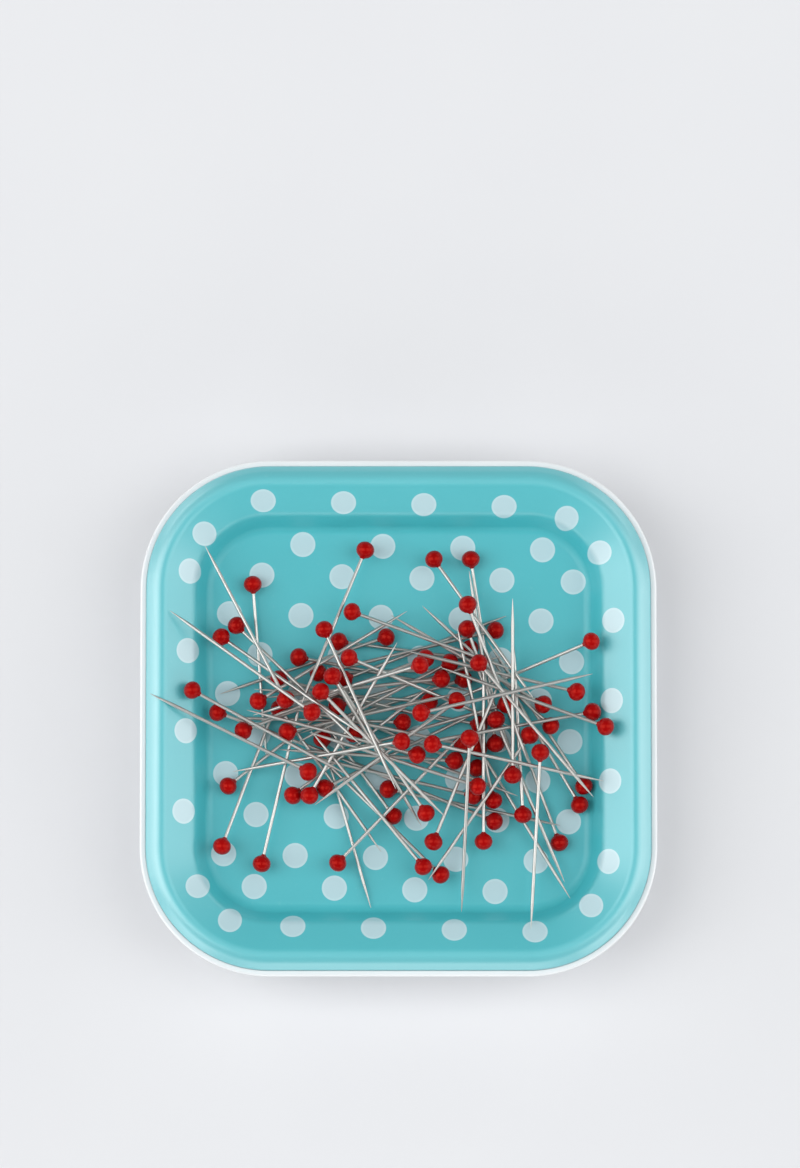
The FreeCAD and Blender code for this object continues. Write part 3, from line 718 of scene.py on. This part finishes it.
rubber = Finish("milky_rubber", Specular_IOR_Level=0.35)
haze = rubber.noise(3.0, detail=3.0)
specks = rubber.step(rubber.noise(0.5, detail=3.0), 0.6, 0.72)
milk = rubber.blend(haze, colour(206, 210, 210), colour(222, 225, 225))
rubber.set("Base Color", rubber.blend(specks * 0.4, milk, colour(168, 168, 164)))
rubber.set("Roughness", haze * 0.15 + specks * 0.1 + 0.5)
rubber.bump(haze * 0.5 + specks * 0.5, 0.03)
wear("anti_slip_feet", rubber)
print("finishes so far:", len(bpy.data.materials))

# %% [markdown]
# ## Glass heads and steel shafts
# A dressmaker's pin is a length of drawn wire with a bead of red glass melted on one end and
# a long ground point on the other. The wire is nickel plated, and the glass has faint swirls
# and a few tiny seeds of air. Each pin's own `tone` makes it a little lighter or darker.

# %% Red glass and bright wire
glass = Finish("red_glass", Specular_IOR_Level=0.8,
               Specular_Tint=(1.0, 0.10, 0.06, 1.0))
tone = glass.add("ShaderNodeAttribute", {"attribute_name": "tone"}).outputs["Fac"]
swirl = glass.noise(1.1, detail=3.0, stretch=(1, 1.6, 1))
seeds = glass.step(glass.noise(0.3, detail=1.0), 0.68, 0.74)
red = glass.blend(tone, colour(148, 4, 8), colour(168, 8, 10))
red = glass.blend(swirl * 0.3, red, colour(120, 2, 8))
glass.set("Base Color", glass.blend(seeds * 0.15, red, colour(205, 50, 40)))
glass.set("Roughness", swirl * 0.06 + 0.19)
glass.bump(swirl + seeds * 0.2, 0.02)

steel = Finish("bright_wire", Metallic=1.0)
tone = steel.add("ShaderNodeAttribute", {"attribute_name": "tone"}).outputs["Fac"]
drawn = steel.noise(0.12, detail=2.0)
stain = steel.step(steel.noise(3.0, detail=3.0), 0.55, 0.75)
bright = steel.blend(tone, colour(186, 185, 181), colour(204, 203, 199))
bright = steel.blend(drawn * 0.08, bright, colour(160, 157, 150))
steel.set("Base Color", steel.blend(stain * 0.2, bright, colour(150, 145, 137)))
steel.set("Roughness", drawn * 0.04 + stain * 0.06 + 0.33)
steel.bump(drawn, 0.0006)
print("glass nodes:", len(glass.tree.nodes), "steel nodes:", len(steel.tree.nodes))

# %% [markdown]
# Each pin's place comes from its CAD shaft. A CAD mesh is loose triangles, so a copy is
# merged first, and then falls apart into one island for each shaft. The two ends of an
# island differ in width: the narrow one is the point.

# %% Find the pins
MERGE = 1e-7
END_SLICE = 0.05 * MM


def islands(node):
    """The groups of joined corners in a merged copy of a CAD node."""
    shape = bmesh.new()
    shape.from_mesh(bpy.data.objects[node].data)
    bmesh.ops.remove_doubles(shape, verts=shape.verts, dist=MERGE)
    shape.verts.ensure_lookup_table()
    left = set(range(len(shape.verts)))
    while left:
        todo = [left.pop()]
        island = []
        while todo:
            vert = shape.verts[todo.pop()]
            island.append(vert.co.copy())
            for edge in vert.link_edges:
                other = edge.other_vert(vert).index
                if other in left:
                    left.remove(other)
                    todo.append(other)
        yield island
    shape.free()


def pin_axis(island):
    """Where a shaft starts in its head, and its direction towards the point."""
    middle = sum(island, Vector()) / len(island)
    one = max(island, key=lambda place: (place - middle).length)
    two = max(island, key=lambda place: (place - one).length)
    along = (two - one).normalized()
    ends = []
    for place, side in ((one, 1), (two, -1)):
        near = [v for v in island if (v - place).dot(along) * side < END_SLICE]
        centre = sum(near, Vector()) / len(near)
        ends.append((max((v - centre).length for v in near), centre))
    ends.sort(key=lambda end: end[0])
    point, start = ends[0][1], ends[1][1]
    return start, (point - start).normalized()


def pin_list(node):
    """The start and direction of each pin of a CAD node, in an order that never changes."""
    pins = [pin_axis(island) for island in islands(node)]
    return sorted(pins, key=lambda pin: tuple(round(value / MM, 2) for value in pin[0]))


print("pins in the first layer:", len(pin_list("layer_1_pin_shafts")))

# %% [markdown]
# All pins share two recipes: a bead and a wire, each made once and set on every pin with
# the pin's direction. The bead is a little flatter than a ball, with a small neck where the
# glass wet the wire. A fixed seed gives each pin its own tone, and each bead a slightly
# different size, as hand-made glass has.

# %% The two recipes for a pin
HEAD_FROM_START = 1.5716
HEAD_RADIUS = 1.6
HEAD_FLATNESS = 0.93
BEAD_SEGMENTS, BEAD_RINGS = 28, 18
NECK_FROM = 0.93
NECK_REACH = 0.3
PIN_LENGTH = 30.0
PIN_RADIUS = 0.3
WIRE_SIDES = 14
WIRE_STEPS = 40
WIRE_IN_HEAD = 0.4
WIRE_START = HEAD_FROM_START - WIRE_IN_HEAD
POINT_LENGTH = 4.2
POINT_CURVE = 0.85
POINT_TIP = 0.1


def pin_recipe(name, build, **more_inputs):
    """A recipe that sets one shape on every pin. Points carry each pin's direction."""
    recipe = Recipe(name, {"Radius": "Float", "Least Size": "Float", "Seed": "Int",
                           "Material": "Material", **more_inputs})
    tone = recipe.add("FunctionNodeRandomValue", {"data_type": "FLOAT"},
                      {"Seed": recipe.given("Seed")})
    toned = recipe.add("GeometryNodeStoreNamedAttribute",
                       {"data_type": "FLOAT", "domain": "POINT"},
                       {"Geometry": recipe.start.outputs["Geometry"], "Name": "tone",
                        "Value": tone.outputs[1]})
    scale = recipe.add("FunctionNodeRandomValue", {"data_type": "FLOAT"},
                       {2: recipe.given("Least Size"), 3: 1.0,
                        "Seed": recipe.given("Seed") + 1})
    turn = recipe.add("FunctionNodeAlignRotationToVector", {"axis": "Z"},
                      {"Vector": recipe.attribute("direction", "FLOAT_VECTOR")})
    placed = recipe.add("GeometryNodeInstanceOnPoints", {},
                        {"Points": toned.outputs[0], "Instance": build(recipe),
                         "Rotation": turn.outputs[0], "Scale": scale.outputs[1]})
    recipe.end(placed.outputs[0])
    return recipe


def bead(recipe):
    """A flattened ball whose side towards the wire is drawn out into a neck."""
    ball = recipe.add("GeometryNodeMeshUVSphere", {},
                      {"Segments": BEAD_SEGMENTS, "Rings": BEAD_RINGS,
                       "Radius": recipe.given("Radius")})
    parts = recipe.add("ShaderNodeSeparateXYZ", {},
                       {0: recipe.add("GeometryNodeInputPosition").outputs[0]})
    x, y, z = (recipe.value(parts, axis) for axis in range(3))
    share = z / recipe.given("Radius")
    neck = recipe.add("ShaderNodeMapRange", {"interpolation_type": "SMOOTHSTEP"},
                      {"Value": share, "From Min": NECK_FROM, "From Max": 1.0})
    longer = z * HEAD_FLATNESS + recipe.value(neck) * (NECK_REACH * MM)
    place = recipe.add("ShaderNodeCombineXYZ", {}, {0: x, 1: y, 2: longer})
    shaped = recipe.add("GeometryNodeSetPosition", {},
                        {"Geometry": ball.outputs["Mesh"], "Position": place.outputs[0]})
    return shaped.outputs[0]


def wire(recipe):
    """A straight wire with a long point, thinner towards its tip in a slight curve."""
    line = recipe.add("GeometryNodeCurvePrimitiveLine", {},
                      {"Start": (0, 0, WIRE_START * MM), "End": (0, 0, PIN_LENGTH * MM)})
    line = recipe.add("GeometryNodeResampleCurve", {},
                      {"Curve": line.outputs[0], "Count": WIRE_STEPS})
    run = recipe.value(recipe.add("GeometryNodeSplineParameter"), 1)
    left = (recipe.given("Length") - run) / (POINT_LENGTH * MM)
    left = left.maths("MINIMUM", left.maths("MAXIMUM", left, 0.0), 1.0)
    thick = left.maths("POWER", left, POINT_CURVE) * (1 - POINT_TIP) + POINT_TIP
    ring = recipe.add("GeometryNodeCurvePrimitiveCircle", {},
                      {"Resolution": WIRE_SIDES, "Radius": recipe.given("Radius")})
    tube = recipe.add("GeometryNodeCurveToMesh", {},
                      {"Curve": line.outputs[0], "Profile Curve": ring.outputs[0],
                       "Scale": thick, "Fill Caps": True})
    return tube.outputs[0]


bead_recipe = pin_recipe("glass_bead", bead)
wire_recipe = pin_recipe("pin_wire", wire, Length="Float")
print("bead nodes:", len(bead_recipe.tree.nodes), "wire nodes:", len(wire_recipe.tree.nodes))

# %% [markdown]
# The pile has four layers and twelve loose pins. Each of them can be lifted on its own, so
# each gets its own pair of pieces, which ride on its body.

# %% Dress the pile
LAYERS, LOOSE_PINS = 4, 12
LEAST_HEAD = 0.96
SEEDS_APART = 10


def pin_points(name, pins, back):
    """One point for each pin, so far back from the start of its shaft."""
    mesh = bpy.data.meshes.new(name)
    mesh.from_pydata([start - along * (back * MM) for start, along in pins], [], [])
    direction = mesh.attributes.new("direction", "FLOAT_VECTOR", "POINT")
    direction.data.foreach_set("vector", [value for _, along in pins for value in along])
    return mesh


def outward(piece):
    """Turn every face of a closed piece outwards."""
    shape = bmesh.new()
    shape.from_mesh(piece.data)
    bmesh.ops.recalc_face_normals(shape, faces=shape.faces)
    shape.to_mesh(piece.data)
    shape.free()


groups = [(f"pin_layer_{n}", f"layer_{n}_pin_shafts", f"layer_{n}_pin_heads", f"layer_{n}")
          for n in range(1, LAYERS + 1)]
groups += [(f"loose_pin_{n:02}", f"loose_pin_{n:02}_shaft", f"loose_pin_{n:02}_head",
            f"loose_{n:02}") for n in range(1, LOOSE_PINS + 1)]
for order, (body, shaft_node, head_node, name) in enumerate(groups):
    pins = pin_list(shaft_node)
    points = pin_points(name, pins, HEAD_FROM_START)
    seed = order * SEEDS_APART
    heads = bead_recipe.make(name + "_glass", points, Radius=HEAD_RADIUS * MM,
                             Least_Size=LEAST_HEAD, Seed=seed, Material=glass.material)
    wires = wire_recipe.make(name + "_wire", points, Radius=PIN_RADIUS * MM,
                             Length=(PIN_LENGTH - WIRE_START) * MM,
                             Least_Size=1.0, Seed=seed, Material=steel.material)
    for piece, slot, node in ((heads, "pin_head", head_node),
                              (wires, "pin_shaft", shaft_node)):
        outward(piece)
        dress(piece, body, slot, node)
    print(body, len(pins), "pins,", len(heads.data.polygons) + len(wires.data.polygons),
          "faces")
